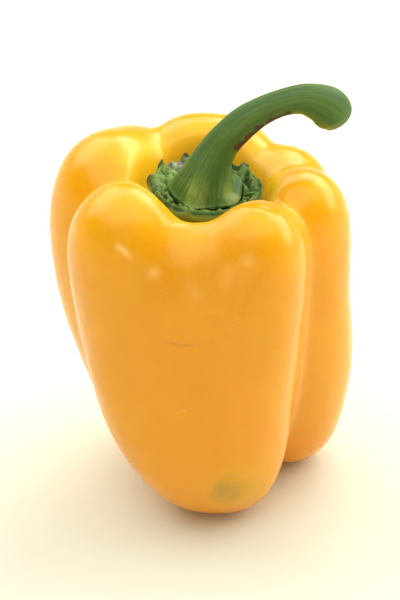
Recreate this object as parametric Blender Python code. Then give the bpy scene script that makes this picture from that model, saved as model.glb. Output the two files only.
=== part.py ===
"""A yellow bell pepper that stands on the tips of its lobes: the fruit, its green calyx and its curved stem.

Blender, metres, +Z up. The broad front lobe faces -Y and the stem bends over towards +X.
The origin is on the surface that the fruit stands on, under the middle of the footprint.
"""

import math

import bmesh
import bpy
import numpy as np
from mathutils import Vector

# Every place below is measured from the foot of the stem's axis, which stands this far from the origin.
STEM_AXIS = np.array((0.00141, -0.00135, -0.0022))

# A lobe swells round a spine of four stations, from its crest down to its foot: (across, deep, up, radius).
# The broad front lobe has two crests and a filling between them. A broad lobe at the back has two edges.
LOBE_SPINES = {
    "front left crest": (
        (-0.0215, -0.0165, 0.0908, 0.0168),
        (-0.0176, -0.0154, 0.0620, 0.0173),
        (-0.0114, -0.0165, 0.0340, 0.0171),
        (-0.0010, -0.0174, 0.0140, 0.0134),
    ),
    "front right crest": (
        (0.0123, -0.0216, 0.0905, 0.0143),
        (0.0095, -0.0200, 0.0620, 0.0155),
        (0.0065, -0.0185, 0.0360, 0.0155),
        (0.0069, -0.0175, 0.0138, 0.0134),
    ),
    "front filling": (
        (-0.0028, -0.0205, 0.0817, 0.0168),
        (-0.0030, -0.0200, 0.0600, 0.0185),
        (-0.0010, -0.0190, 0.0400, 0.0180),
        (0.0020, -0.0180, 0.0240, 0.0160),
    ),
    "right": (
        (0.0253, -0.0022, 0.0905, 0.0142),
        (0.0252, -0.0012, 0.0600, 0.0148),
        (0.0264, 0.0026, 0.0360, 0.0150),
        (0.0242, 0.0068, 0.0131, 0.0139),
    ),
    "back right": (
        (0.0216, 0.0165, 0.0872, 0.0148),
        (0.0180, 0.0170, 0.0600, 0.0160),
        (0.0140, 0.0170, 0.0360, 0.0150),
        (0.0090, 0.0160, 0.0130, 0.0120),
    ),
    "back, right edge": (
        (0.0060, 0.0272, 0.0913, 0.0148),
        (0.0040, 0.0240, 0.0620, 0.0160),
        (-0.0020, 0.0200, 0.0360, 0.0150),
        (-0.0100, 0.0140, 0.0160, 0.0120),
    ),
    "back, left edge": (
        (-0.0040, 0.0270, 0.0922, 0.0148),
        (-0.0055, 0.0245, 0.0660, 0.0150),
        (-0.0100, 0.0190, 0.0360, 0.0150),
        (-0.0135, 0.0130, 0.0115, 0.0120),
    ),
    "left, back edge": (
        (-0.0220, 0.0223, 0.0924, 0.0128),
        (-0.0220, 0.0150, 0.0660, 0.0150),
        (-0.0160, 0.0090, 0.0380, 0.0150),
        (-0.0120, 0.0040, 0.0240, 0.0120),
    ),
    "left": (
        (-0.0268, 0.0128, 0.0912, 0.0167),
        (-0.0260, 0.0080, 0.0660, 0.0177),
        (-0.0182, 0.0030, 0.0380, 0.0160),
        (-0.0120, 0.0010, 0.0240, 0.0130),
    ),
}
CORE_SPINE = (
    (0.0, 0.0, 0.069, 0.024),
    (0.0, 0.0, 0.056, 0.026),
    (0.0, 0.0, 0.046, 0.026),
    (0.0, 0.0, 0.038, 0.023),
)
BALLS_ON_A_LOBE = 22
BALLS_ON_THE_CORE = 10
BLEND = 0.0024  # how softly neighbouring balls and lobes run into each other
CROWDING = 4.0  # balls that share a stretch of skin, whose swelling is taken off again

# The bowl between the crests is a round pit with a flat floor and a soft corner.
BOWL_AXIS = (-0.0015, 0.0002)
BOWL_RADIUS = 0.0182
BOWL_FLOOR = 0.0908
BOWL_CORNER = 0.0030
BOWL_BLEND = 0.0020

HEART = np.array((0.0, 0.0, 0.048))  # every ray from here leaves the fruit once
BEYOND = 0.080  # a distance from the heart that is outside the fruit in every direction
TRACE_STEPS = 40
TRACE_SHARE = 0.95  # share of the distance to the skin that each step of a ray takes
EVENING_ROUNDS = 24
EVENING_SHARE = 0.5  # how far each round moves a point towards the middle of its neighbours
FRUIT_FACES = 26  # along each edge of the cube that becomes the fruit

# The calyx is a thin green dish on the floor of the bowl, with ribs that run out to small upturned teeth.
# A share is of its radius, from 0 in the middle to 1 at the rim.
CALYX_CENTRE = (-0.0006, -0.0005)
CALYX_RADIUS = 0.0157
CALYX_GAP = 0.0009  # from its underside to the fruit
DISH_FLOOR = 0.0900  # height of the underside's middle
DISH_DEPTH = 0.0048  # from there up to the rim's underside
DISH_BEND = 3.0  # how late the dish turns up towards its rim
DISH_LEAN = (-0.055, 0.07)  # rise of the rim towards +X and towards +Y
CALYX_SECTORS = 96
CALYX_TOP_SHARES = (0.0, 0.2, 0.4, 0.56, 0.62, 0.7, 0.78, 0.86, 0.93, 0.98)
CALYX_UNDER_SHARES = (0.98, 0.9, 0.8, 0.7, 0.6, 0.45, 0.25, 0.0)
SEAT_HEIGHT = 0.0934
SEAT_SHARES = (0.56, 0.66)  # the flat seat under the stem ends at the first share and is gone at the second
TROUGH_THICKNESS = 0.0015
LIP_THICKNESS = 0.0022
LIP_SHARES = (0.75, 0.90)
EDGE_THICKNESS = 0.0016
EDGE_SHARES = (0.93, 1.0)
SCALLOP = 0.0007
# Each tooth has a heading in degrees from +X and a boldness: those at the front lie flat against the rim.
TEETH = (
    (8.0, 0.3),
    (43.0, 1.0),
    (78.0, 1.0),
    (113.0, 1.0),
    (144.0, 1.0),
    (175.0, 1.7),
    (208.0, 0.4),
    (250.0, 0.2),
    (292.0, 0.2),
    (330.0, 0.4),
)
TOOTH_HALF_WIDTH = 5.0  # degrees
TOOTH_REACH = 0.0008
TOOTH_LIFT = 0.0011
TOOTH_SHARES = (0.8, 1.0)
RIB_HEIGHT = 0.0009
RIB_HALF_WIDTH = 5.0  # degrees
RIB_SHARES = (0.56, 0.70)

# The stem's stations from its seat to its end: (across, deep, up, radius).
STEM_STATIONS = (
    (-0.0005, -0.0006, 0.0938, 0.0082),
    (-0.0005, -0.0006, 0.0950, 0.0099),
    (-0.0005, -0.0007, 0.0964, 0.0100),
    (-0.0004, -0.0009, 0.0982, 0.0084),
    (0.0001, -0.0009, 0.1004, 0.0070),
    (0.0009, -0.0006, 0.1030, 0.0060),
    (0.0021, -0.0001, 0.1058, 0.0052),
    (0.0048, 0.0000, 0.1102, 0.0045),
    (0.0097, 0.0000, 0.1153, 0.0042),
    (0.0146, 0.0000, 0.1187, 0.0037),
    (0.0196, 0.0000, 0.1209, 0.0035),
    (0.0244, 0.0000, 0.1218, 0.0039),
    (0.0282, 0.0000, 0.1211, 0.0047),
    (0.0312, 0.0000, 0.1196, 0.0055),
    (0.0332, 0.0000, 0.1175, 0.0052),
    (0.0344, 0.0000, 0.1158, 0.0040),
)
STEM_SIDES = 20
STEM_RINGS_PER_STATION = 2
STEM_RIBS = 5
STEM_RIB_SHARE = 0.06  # how far the ribs stand out, as a share of the radius
STEM_RIB_TURN = math.radians(-12.0)
STEM_RIB_START = (0.0, 0.15)  # shares of the stem's length between which the ribs rise
STEM_RIB_END = (0.60, 0.95)  # and between which they fade
STEM_RIB_FADE = 0.7
STEM_END_DOME = 0.0009
STEM_END_SHARE = 0.6  # radius of the flat in the middle of the stem's end, as a share of the stem's

SKIN_COLOUR = (1.0, 0.53, 0.035, 1.0)
CALYX_COLOUR = (0.10, 0.22, 0.045, 1.0)
STEM_COLOUR = (0.14, 0.27, 0.05, 1.0)
SKIN_ROUGHNESS = 0.3
CALYX_ROUGHNESS = 0.6
STEM_ROUGHNESS = 0.5


def clear_scene():
    for old in list(bpy.data.objects):
        bpy.data.objects.remove(old, do_unlink=True)


def plain_material(name, colour, roughness):
    material = bpy.data.materials.new(name)
    material.use_nodes = True
    shader = material.node_tree.nodes["Principled BSDF"]
    shader.inputs["Base Color"].default_value = colour
    shader.inputs["Roughness"].default_value = roughness
    shader.inputs["Metallic"].default_value = 0.0
    return material


def smooth_line(stations, count):
    """Points evenly spread along a smooth line through the stations, with the radius carried along."""
    given = np.array(stations)
    led = np.vstack([2 * given[0] - given[1], given, 2 * given[-1] - given[-2]])
    spans = len(stations) - 1
    places = np.linspace(0.0, spans, count)
    span = np.minimum(places.astype(int), spans - 1)
    u = (places - span)[:, None]
    before, here, there, after = (led[span + k] for k in range(4))
    bend = 2 * before - 5 * here + 4 * there - after
    twist = 3 * here - before - 3 * there + after
    return 0.5 * (2 * here + (there - before) * u + bend * u**2 + twist * u**3)


def fruit_balls():
    """Every ball of every lobe and of the core, as rows of (across, deep, up, radius)."""
    lobes = [smooth_line(spine, BALLS_ON_A_LOBE) for spine in LOBE_SPINES.values()]
    return np.vstack([*lobes, smooth_line(CORE_SPINE, BALLS_ON_THE_CORE)])


def flesh_field(points, balls):
    """Soft distance from each point to the skin of all the balls together, and the way it grows."""
    away = points[:, None, :] - balls[None, :, :3]
    reach = np.linalg.norm(away, axis=2)
    apart = reach - balls[:, 3]
    nearest = apart.min(axis=1)
    pull = np.exp((nearest[:, None] - apart) / BLEND)
    crowd = pull.sum(axis=1)
    slope = (away * (pull / reach)[:, :, None]).sum(axis=1) / crowd[:, None]
    return nearest - BLEND * np.log(crowd / CROWDING), slope


def bowl_field(points):
    """How deep each point lies in the bowl, and the way the depth grows."""
    across = points[:, :2] - BOWL_AXIS
    reach = np.linalg.norm(across, axis=1)
    wall = (reach - BOWL_RADIUS) / BOWL_CORNER
    floor = (BOWL_FLOOR - points[:, 2]) / BOWL_CORNER
    either = np.logaddexp(wall, floor)
    inwards = -np.exp(wall - either)[:, None] * across / np.maximum(reach, BOWL_CORNER)[:, None]
    return -BOWL_CORNER * either, np.column_stack([inwards, np.exp(floor - either)])


def skin_field(points, balls):
    """Soft distance from each point to the fruit's skin, below zero inside, and the way it grows."""
    flesh, flesh_slope = flesh_field(points, balls)
    bowl, bowl_slope = bowl_field(points)
    distance = BOWL_BLEND * np.logaddexp(flesh / BOWL_BLEND, bowl / BOWL_BLEND)
    share = np.exp((bowl - distance) / BOWL_BLEND)[:, None]
    return distance, (1.0 - share) * flesh_slope + share * bowl_slope


def trace_skin(directions, balls):
    """Where rays from the heart, followed inwards from beyond the fruit, meet its skin."""
    reach = np.full(len(directions), BEYOND)
    for _ in range(TRACE_STEPS):
        reach -= TRACE_SHARE * skin_field(HEART + directions * reach[:, None], balls)[0]
    return HEART + directions * reach[:, None]


def height_above_skin(places, gap, balls):
    """Height of the surface that stays this far above the skin, at each (across, deep) place."""
    height = np.full(len(places), HEART[2] + BEYOND)
    for _ in range(TRACE_STEPS):
        height -= TRACE_SHARE * (skin_field(np.column_stack([places, height]), balls)[0] - gap)
    return height


def settle(points, balls):
    """Moves points that are near the skin straight on to it."""
    distance, slope = skin_field(points, balls)
    return points - slope * (distance / (slope**2).sum(axis=1))[:, None]


def even_out(points, links, balls):
    """Slides the points over the skin, each towards the middle of its neighbours, until they lie evenly."""
    neighbours = np.bincount(links.ravel(), minlength=len(points))[:, None]
    for _ in range(EVENING_ROUNDS):
        sums = np.zeros_like(points)
        np.add.at(sums, links[:, 0], points[links[:, 1]])
        np.add.at(sums, links[:, 1], points[links[:, 0]])
        points = points + EVENING_SHARE * (sums / neighbours - points)
        points = settle(settle(points, balls), balls)
    return points


def coordinates(bm):
    return np.array([vertex.co for vertex in bm.verts])


def move_vertices(bm, points):
    """Puts the vertices at these places, which are measured from the stem's axis."""
    for vertex, point in zip(bm.verts, points + STEM_AXIS):
        vertex.co = point


def node_from(bm, name, material):
    """Makes the named object, shaded smooth."""
    bmesh.ops.recalc_face_normals(bm, faces=bm.faces)
    mesh = bpy.data.meshes.new(name)
    bm.to_mesh(mesh)
    bm.free()
    mesh.shade_smooth()
    mesh.materials.append(material)
    node = bpy.data.objects.new(name, mesh)
    bpy.context.scene.collection.objects.link(node)


def make_fruit(balls, material):
    """A finely cut cube, each point of which moves along its ray from the heart to the skin."""
    bm = bmesh.new()
    bmesh.ops.create_cube(bm, size=2.0)
    bmesh.ops.subdivide_edges(bm, edges=bm.edges, cuts=FRUIT_FACES - 1, use_grid_fill=True)
    even = np.tan(coordinates(bm) * math.pi / 4)
    directions = even / np.linalg.norm(even, axis=1, keepdims=True)
    links = np.array([[vertex.index for vertex in edge.verts] for edge in bm.edges])
    move_vertices(bm, even_out(trace_skin(directions, balls), links, balls))
    flatten_feet(bm)
    node_from(bm, "fruit", material)


def flatten_feet(bm):
    """Slices the tips of the feet off at the surface that they stand on."""
    everything = bm.verts[:] + bm.edges[:] + bm.faces[:]
    cut = bmesh.ops.bisect_plane(
        bm, geom=everything, dist=1e-6, plane_co=(0, 0, 0), plane_no=(0, 0, -1), clear_outer=True
    )
    rims = [part for part in cut["geom_cut"] if isinstance(part, bmesh.types.BMEdge)]
    bmesh.ops.holes_fill(bm, edges=rims, sides=0)


def ease(value, start, end):
    """0 before the start, 1 after the end, and a smooth step between them."""
    share = np.clip((value - start) / (end - start), 0.0, 1.0)
    return share * share * (3.0 - 2.0 * share)


def ridges(heading, half_width, boldness):
    """A ridge as high as its boldness on the line of each tooth, falling off to 0 on both sides of it."""
    lines = np.array([line for line, _ in TEETH])
    apart = np.abs((heading[:, None] - lines + 180.0) % 360.0 - 180.0)
    return (boldness * np.exp(-((apart / half_width) ** 2))).max(axis=1)


def between_teeth(heading):
    """1 midway between neighbouring teeth, 0 at a tooth."""
    lines = np.array([line for line, _ in TEETH])
    since = ((heading[:, None] - lines) % 360.0).min(axis=1)
    until = ((lines - heading[:, None]) % 360.0).min(axis=1)
    return np.sin(math.pi * since / np.maximum(since + until, 1.0))


def calyx_section():
    """Half of the calyx's section, from the top's middle round the rim to the underside's middle.

    Each point is a share of the radius and a share of the thickness.
    """
    top = [(share, 1.0) for share in CALYX_TOP_SHARES]
    under = [(share, 0.0) for share in CALYX_UNDER_SHARES]
    return [*top, (1.0, 0.5), *under]


def spin_section(section, sectors):
    """Turns a section of (radius, height) points round the Z axis and closes it at both ends."""
    bm = bmesh.new()
    line = [bm.verts.new((radius, 0.0, height)) for radius, height in section]
    edges = [bm.edges.new(pair) for pair in zip(line, line[1:])]
    bmesh.ops.spin(
        bm, geom=line + edges, cent=(0, 0, 0), axis=(0, 0, 1), angle=math.tau, steps=sectors, use_merge=True
    )
    bmesh.ops.remove_doubles(bm, verts=bm.verts, dist=1e-6)
    return bm


def make_calyx(balls, material):
    """A spun disc bent on to the floor of the bowl, then raised into ribs, a lip and teeth."""
    bm = spin_section(calyx_section(), CALYX_SECTORS)
    flat = coordinates(bm)
    share = np.hypot(flat[:, 0], flat[:, 1])
    turn = np.arctan2(flat[:, 1], flat[:, 0])
    heading = np.degrees(turn)
    tooth = ridges(heading, TOOTH_HALF_WIDTH, np.array([bold for _, bold in TEETH]))
    radius = share * (CALYX_RADIUS + TOOTH_REACH * tooth - SCALLOP * between_teeth(heading))
    spread = np.column_stack([radius * np.cos(turn), radius * np.sin(turn)])
    places = spread + CALYX_CENTRE
    dish = DISH_FLOOR + DISH_DEPTH * share**DISH_BEND + spread @ DISH_LEAN
    bed = np.maximum(height_above_skin(places, CALYX_GAP, balls), dish)
    under = bed + TOOTH_LIFT * tooth * ease(share, *TOOTH_SHARES)
    rib = RIB_HEIGHT * ridges(heading, RIB_HALF_WIDTH, 1.0) * ease(share, *RIB_SHARES)
    lip = (LIP_THICKNESS - TROUGH_THICKNESS) * ease(share, *LIP_SHARES)
    edge = (LIP_THICKNESS - EDGE_THICKNESS) * ease(share, *EDGE_SHARES)
    sheet = under + TROUGH_THICKNESS + rib + lip - edge
    outside_seat = ease(share, *SEAT_SHARES)
    top = SEAT_HEIGHT * (1.0 - outside_seat) + sheet * outside_seat
    move_vertices(bm, np.column_stack([places, under + flat[:, 2] * (top - under)]))
    node_from(bm, "calyx", material)


def stem_rings():
    """The stem's rings: each is a centre, two directions across the stem and a radius."""
    count = (len(STEM_STATIONS) - 1) * STEM_RINGS_PER_STATION + 1
    line = smooth_line(STEM_STATIONS, count)
    tangents = np.gradient(line[:, :3], axis=0)
    level = Vector((0.0, 1.0, 0.0))
    rings = []
    for row, tangent in zip(line, tangents):
        ahead = Vector(tangent).normalized()
        side = (level - ahead * level.dot(ahead)).normalized()
        rings.append((Vector(row[:3]), side, ahead.cross(side), row[3]))
    return rings


def ring_points(centre, side, other, radius, rib):
    """A ring's points, with rounded ribs that stand out by this share of the radius."""
    points = []
    for k in range(STEM_SIDES):
        turn = math.tau * k / STEM_SIDES
        reach = radius * (1 + rib * math.cos(STEM_RIBS * (turn + STEM_RIB_TURN)))
        points.append(centre + (side * math.cos(turn) + other * math.sin(turn)) * reach)
    return points


def rib_share(along):
    """The ribs are bold low on the stem and fade towards its swollen end."""
    return STEM_RIB_SHARE * ease(along, *STEM_RIB_START) * (1.0 - STEM_RIB_FADE * ease(along, *STEM_RIB_END))


def next_loop(loop, edges):
    """The vertices of the newly extruded ring, in the order of the ring that they came from."""
    new = {vertex for edge in edges for vertex in edge.verts}
    return [next(e.other_vert(v) for e in v.link_edges if e.other_vert(v) in new) for v in loop]


def extruded_edges(bm, edges):
    made = bmesh.ops.extrude_edge_only(bm, edges=edges)["geom"]
    return [part for part in made if isinstance(part, bmesh.types.BMEdge) and part.is_boundary]


def make_stem(material):
    """A ring that is extruded from station to station, closed by a flat seat and a low dome."""
    rings = stem_rings()
    outlines = [ring_points(*ring, rib_share(k / (len(rings) - 1))) for k, ring in enumerate(rings)]
    centre, side, other, radius = rings[-1]
    end = centre + side.cross(other) * STEM_END_DOME
    outlines.append(ring_points(end, side, other, radius * STEM_END_SHARE, 0.0))
    bm = bmesh.new()
    bmesh.ops.create_circle(bm, cap_ends=False, segments=STEM_SIDES, radius=1.0)
    loop = sorted(bm.verts, key=lambda vertex: math.atan2(vertex.co.y, vertex.co.x) % math.tau)
    edges = bm.edges[:]
    for index, points in enumerate(outlines):
        if index:
            edges = extruded_edges(bm, edges)
            loop = next_loop(loop, edges)
        for vertex, point in zip(loop, points):
            vertex.co = point + Vector(STEM_AXIS)
    bmesh.ops.holes_fill(bm, edges=bm.edges, sides=0)
    node_from(bm, "stem", material)


def build():
    clear_scene()
    balls = fruit_balls()
    make_fruit(balls, plain_material("pepper skin", SKIN_COLOUR, SKIN_ROUGHNESS))
    make_calyx(balls, plain_material("calyx green", CALYX_COLOUR, CALYX_ROUGHNESS))
    make_stem(plain_material("stem green", STEM_COLOUR, STEM_ROUGHNESS))


build()
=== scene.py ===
"""A yellow bell pepper on a pale studio floor: a waxy lobed fruit, a green calyx and a ribbed stem.

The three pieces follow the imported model. They are shaped again here with a far finer surface, and each
one gets a material of its own. Sizes are in metres, with +Z up and the broad front lobe towards -Y.
"""

import math

import bmesh
import bpy
import numpy as np
from bpy.props import FloatProperty, FloatVectorProperty, IntProperty, PointerProperty
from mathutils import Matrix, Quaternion, Vector, noise


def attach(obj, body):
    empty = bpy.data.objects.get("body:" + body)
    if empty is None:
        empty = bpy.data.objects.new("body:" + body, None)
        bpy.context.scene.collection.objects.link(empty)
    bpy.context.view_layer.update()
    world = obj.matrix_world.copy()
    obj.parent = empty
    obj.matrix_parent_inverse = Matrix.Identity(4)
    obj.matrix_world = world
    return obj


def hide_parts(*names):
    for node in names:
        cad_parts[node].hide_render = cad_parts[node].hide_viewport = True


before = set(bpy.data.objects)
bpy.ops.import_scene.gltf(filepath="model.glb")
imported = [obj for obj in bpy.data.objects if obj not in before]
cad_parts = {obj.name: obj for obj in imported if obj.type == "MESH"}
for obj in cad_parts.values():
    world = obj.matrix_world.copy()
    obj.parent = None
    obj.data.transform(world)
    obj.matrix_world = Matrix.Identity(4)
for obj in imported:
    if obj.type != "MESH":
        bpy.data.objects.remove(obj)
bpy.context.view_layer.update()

bl_info = {
    "name": "Bell Pepper",
    "version": (1, 0, 0),
    "blender": (4, 5, 0),
    "location": "View3D > Sidebar > Pepper",
    "description": "Builds a yellow bell pepper with its calyx and stem, and the studio around it",
    "category": "Object",
}

# Places are measured from the foot of the stem's axis, which stands this far from the origin.
STEM_AXIS = np.array((0.00141, -0.00135, -0.0022))

# A lobe swells round a spine of four stations, from its crest to its foot: (across, deep, up, radius).
# The broad front lobe has two crests and a filling between them. The broad back lobe has two edges.
LOBE_SPINES = {
    "front left crest": (
        (-0.0215, -0.0165, 0.0908, 0.0168),
        (-0.0176, -0.0154, 0.0620, 0.0173),
        (-0.0114, -0.0165, 0.0340, 0.0171),
        (-0.0010, -0.0174, 0.0140, 0.0134),
    ),
    "front right crest": (
        (0.0123, -0.0216, 0.0905, 0.0143),
        (0.0095, -0.0200, 0.0620, 0.0155),
        (0.0065, -0.0185, 0.0360, 0.0155),
        (0.0069, -0.0175, 0.0138, 0.0134),
    ),
    "front filling": (
        (-0.0028, -0.0205, 0.0817, 0.0168),
        (-0.0030, -0.0200, 0.0600, 0.0185),
        (-0.0010, -0.0190, 0.0400, 0.0180),
        (0.0020, -0.0180, 0.0240, 0.0160),
    ),
    "right": (
        (0.0253, -0.0022, 0.0905, 0.0142),
        (0.0252, -0.0012, 0.0600, 0.0148),
        (0.0264, 0.0026, 0.0360, 0.0150),
        (0.0242, 0.0068, 0.0131, 0.0139),
    ),
    "back right": (
        (0.0216, 0.0165, 0.0872, 0.0148),
        (0.0180, 0.0170, 0.0600, 0.0160),
        (0.0140, 0.0170, 0.0360, 0.0150),
        (0.0090, 0.0160, 0.0130, 0.0120),
    ),
    "back, right edge": (
        (0.0060, 0.0272, 0.0913, 0.0148),
        (0.0040, 0.0240, 0.0620, 0.0160),
        (-0.0020, 0.0200, 0.0360, 0.0150),
        (-0.0100, 0.0140, 0.0160, 0.0120),
    ),
    "back, left edge": (
        (-0.0040, 0.0270, 0.0922, 0.0148),
        (-0.0055, 0.0245, 0.0660, 0.0150),
        (-0.0100, 0.0190, 0.0360, 0.0150),
        (-0.0135, 0.0130, 0.0115, 0.0120),
    ),
    "left, back edge": (
        (-0.0220, 0.0223, 0.0924, 0.0128),
        (-0.0220, 0.0150, 0.0660, 0.0150),
        (-0.0160, 0.0090, 0.0380, 0.0150),
        (-0.0120, 0.0040, 0.0240, 0.0120),
    ),
    "left": (
        (-0.0268, 0.0128, 0.0912, 0.0167),
        (-0.0260, 0.0080, 0.0660, 0.0177),
        (-0.0182, 0.0030, 0.0380, 0.0160),
        (-0.0120, 0.0010, 0.0240, 0.0130),
    ),
}
CORE_SPINE = (
    (0.0, 0.0, 0.069, 0.024),
    (0.0, 0.0, 0.056, 0.026),
    (0.0, 0.0, 0.046, 0.026),
    (0.0, 0.0, 0.038, 0.023),
)
BALLS_ON_A_LOBE = 22
BALLS_ON_THE_CORE = 10
BLEND = 0.0024  # how softly neighbouring balls and lobes run into each other
CROWDING = 4.0  # balls that share a stretch of skin, whose swelling is taken off again

# The bowl between the crests is a round pit with a flat floor and a soft corner.
BOWL_AXIS = (-0.0015, 0.0002)
BOWL_RADIUS = 0.0182
BOWL_FLOOR = 0.0908
BOWL_CORNER = 0.0030
BOWL_BLEND = 0.0020

HEART = np.array((0.0, 0.0, 0.048))  # every ray from here leaves the fruit once
BEYOND = 0.080  # a distance from the heart that is outside the fruit in every direction
TRACE_STEPS = 40
TRACE_SHARE = 0.95  # share of the distance to the skin that each step of a ray takes
CHUNK = 6000  # points that are worked out at a time
FINE_EVENING_ROUNDS = 3  # rounds that spread the points evenly after each doubling
FURROW_SHADE_CROWDS = (4.6, 8.0)  # how crowded with balls a place is where the painted shade of a furrow begins and is darkest
BOWL_PAINTED_LIGHT_DEPTHS = (0.001, 0.006)  # distance from the bowl over which its painted light fades
MERGE_DISTANCE = 1e-6

# The calyx is a dish. A share is of its radius, from 0 in the middle to 1 at the rim.
CALYX_CENTRE = (-0.0006, -0.0005)
DISH_FLOOR = 0.0900  # height of the underside's middle
DISH_DEPTH = 0.0048  # from there up to the rim's underside
DISH_BEND = 3.0
DISH_LEAN = (-0.055, 0.07)  # rise of the rim towards +X and towards +Y
SEAT_HEIGHT = 0.0934
CRINKLED_RINGS = 42
RIM_WAVE_SIZE = 0.45  # as a share of the radius
COARSE_FOLD_SIZE = 0.0032
FINE_FOLD_SIZE = 0.0015
FOLD_SHARPNESS = 2.4

# Shares of the calyx's radius between which each feature grows from nothing to its full size.
SEAT_EDGE = (0.56, 0.68)
LIP_RISE = (0.70, 0.90)
WAVE_RISE = (0.75, 1.0)
TOOTH_RISE = (0.84, 1.0)
RIM_TURN = (0.93, 1.0)
RIM_COLOUR_SPAN = (0.955, 0.99)
TIP_COLOUR_SPAN = (0.84, 0.95)

# Each tooth has a heading in degrees from +X and a boldness: those in front lie flat against the rim.
TOOTH_HALF_WIDTH = 4.5
RIB_HALF_WIDTH = 5.0
TEETH = (
    (8.0, 0.1),
    (43.0, 1.0),
    (78.0, 1.0),
    (113.0, 1.0),
    (144.0, 1.0),
    (175.0, 1.0),
    (208.0, 0.4),
    (250.0, 0.2),
    (292.0, 0.2),
    (330.0, 0.4),
)

# The stem's stations from its seat to its end: (across, deep, up, radius).
STEM_STATIONS = (
    (-0.0005, -0.0006, 0.0938, 0.0082),
    (-0.0005, -0.0006, 0.0950, 0.0099),
    (-0.0005, -0.0007, 0.0964, 0.0100),
    (-0.0004, -0.0009, 0.0982, 0.0084),
    (0.0001, -0.0009, 0.1004, 0.0070),
    (0.0009, -0.0006, 0.1030, 0.0060),
    (0.0021, -0.0001, 0.1058, 0.0052),
    (0.0048, 0.0000, 0.1102, 0.0045),
    (0.0097, 0.0000, 0.1153, 0.0042),
    (0.0146, 0.0000, 0.1187, 0.0037),
    (0.0196, 0.0000, 0.1209, 0.0035),
    (0.0244, 0.0000, 0.1218, 0.0039),
    (0.0282, 0.0000, 0.1211, 0.0047),
    (0.0312, 0.0000, 0.1196, 0.0055),
    (0.0332, 0.0000, 0.1175, 0.0052),
    (0.0344, 0.0000, 0.1158, 0.0040),
)
STEM_RIBS = 5
STEM_END_RINGS = ((0.86, 0.45), (0.66, 0.78), (0.42, 0.95), (0.18, 1.0))  # shares of radius and bulge

# Shares of the stem's length over which its ribs rise and weaken, and its lumps come and go.
RIB_RISE = (0.0, 0.12)
RIB_WEAKENING = (0.62, 0.92)
LUMP_RISE = (0.02, 0.09)
LUMP_FALL = (0.14, 0.30)

# Sizes and depths of the patterns on the skin.
SWELL_SIZE = 0.020
RIPPLE_SIZE = 0.0055
MOTTLE_SIZE = 0.030
FRECKLE_SIZE = 0.0016
GLOSS_SIZE = 0.010
PORE_SIZE = 0.0045
PORE_DEPTH = 0.00010
GRAIN_SIZE = 0.0007
GRAIN_DEPTH = 0.000012
MARK_DEPTH = -0.00008
SKIN_ROUGHNESS = (0.18, 0.25)
DULL_ROUGHNESS = 0.12  # what the dull patch adds
MARK_ROUGHNESS = 0.18  # what the marks add

# Marks on the skin, each at a place measured from the stem's axis.
SCAR_CENTRE = (-0.0070, -0.0370, 0.0700)
SCAR_RADII = (0.0062, 0.0060, 0.00045)
SCAR_END_CENTRE = (0.0012, -0.0370, 0.0712)
SCAR_END_RADII = (0.0007, 0.0060, 0.0010)
SCAR_DENT_RADII = (0.0075, 0.0060, 0.0011)
SCAR_DENT_SHARE = 0.35
DIMPLE_CENTRE = (-0.0008, -0.0300, 0.0893)
DIMPLE_RADII = (0.0008, 0.0050, 0.0016)
DIMPLE_DENT_RADII = (0.0014, 0.0060, 0.0024)
DIMPLE_DENT_SHARE = 0.8
FLECK_CENTRE = (-0.0068, -0.0390, 0.0495)
FLECK_RADII = (0.0016, 0.0060, 0.0007)
FLECK_COLOUR = (1.0, 0.55, 0.06, 1.0)
BLOTCH_CENTRE = (0.0058, -0.0345, 0.0188)
BLOTCH_RADII = (0.0075, 0.0110, 0.0092)
BLOTCH_LINES = tuple((0.0073, -0.0345, height) for height in (0.0262, 0.0228, 0.0180))
BLOTCH_LINE_RADII = (0.0042, 0.0100, 0.0003)  # of the thin lines across the bruise
UNRIPE_CENTRE = (0.0095, -0.0330, 0.0200)
UNRIPE_RADII = (0.0170, 0.0200, 0.0170)
DULL_CENTRE = (0.0030, -0.0340, 0.0860)
DULL_RADII = (0.0240, 0.0250, 0.0180)
MARK_CORE = 0.2  # share of a mark's radii inside which it is at full strength
MARK_RAGGEDNESS = (0.003, 0.0014)  # size and depth of the noise that pushes an outline about
BLOTCH_RAGGEDNESS = (0.006, 0.006)
BLOTCH_CLOUD_SIZE = 0.005
CREST_PAINTED_LIGHT_HEIGHTS = (0.080, 0.098)  # the skin is painted lighter, from gold to the crests' colour, between these heights: painted light on the tops

# Patterns on the calyx, and the dry grey patch behind the bulb, measured from the stem's axis.
LEAF_BREAK_SIZE = 0.0012
LEAF_GRAIN_SIZE = 0.0008
LEAF_GRAIN_DEPTH = 0.00012
DUST_CENTRE = (-0.0085, 0.0105, 0.0965)
DUST_RADII = (0.0060, 0.0050, 0.0060)
DUST_RAGGEDNESS = (0.003, 0.004)
DUST_SPECKLE_SIZE = 0.0009

# Patterns on the stem. The first two are counts: how often they repeat round the stem and along it.
STREAK_COUNTS = (9.0, 9.0)
GROOVE_COUNTS = (14.0, 3.5)
GROOVE_DEPTH = 0.00010
PEEL_GRAIN_SIZE = 0.0006
PEEL_GRAIN_DEPTH = 0.00003

# The dry scars run along the stem, on the front of its underside: (start, end) as shares of its length.
SCAR_SPANS = ((0.475, 0.580), (0.595, 0.685))
SCAR_TURN = math.radians(231.0)
SCAR_END_FADE = 0.008
SCAR_EDGE_SIZE = 0.0012
BULB_SPAN = (0.08, 0.22)  # shares of the stem's length where the painted highlight on the bulb's ribs is fullest
BULB_FADE = 0.10

# How far red, green and blue light spread in yellow flesh and in green tissue.
FLESH_SCATTER = (1.0, 0.5, 0.08)
TISSUE_SCATTER = (0.6, 1.0, 0.2)

# The photograph is 400 by 600 pixels, and the lens's axis meets it beside its middle.
PICTURE_WIDTH = 400
PICTURE_HEIGHT = 600
AXIS_PIXEL = (208, 332)
SENSOR_WIDTH = 36.0  # millimetres

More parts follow.
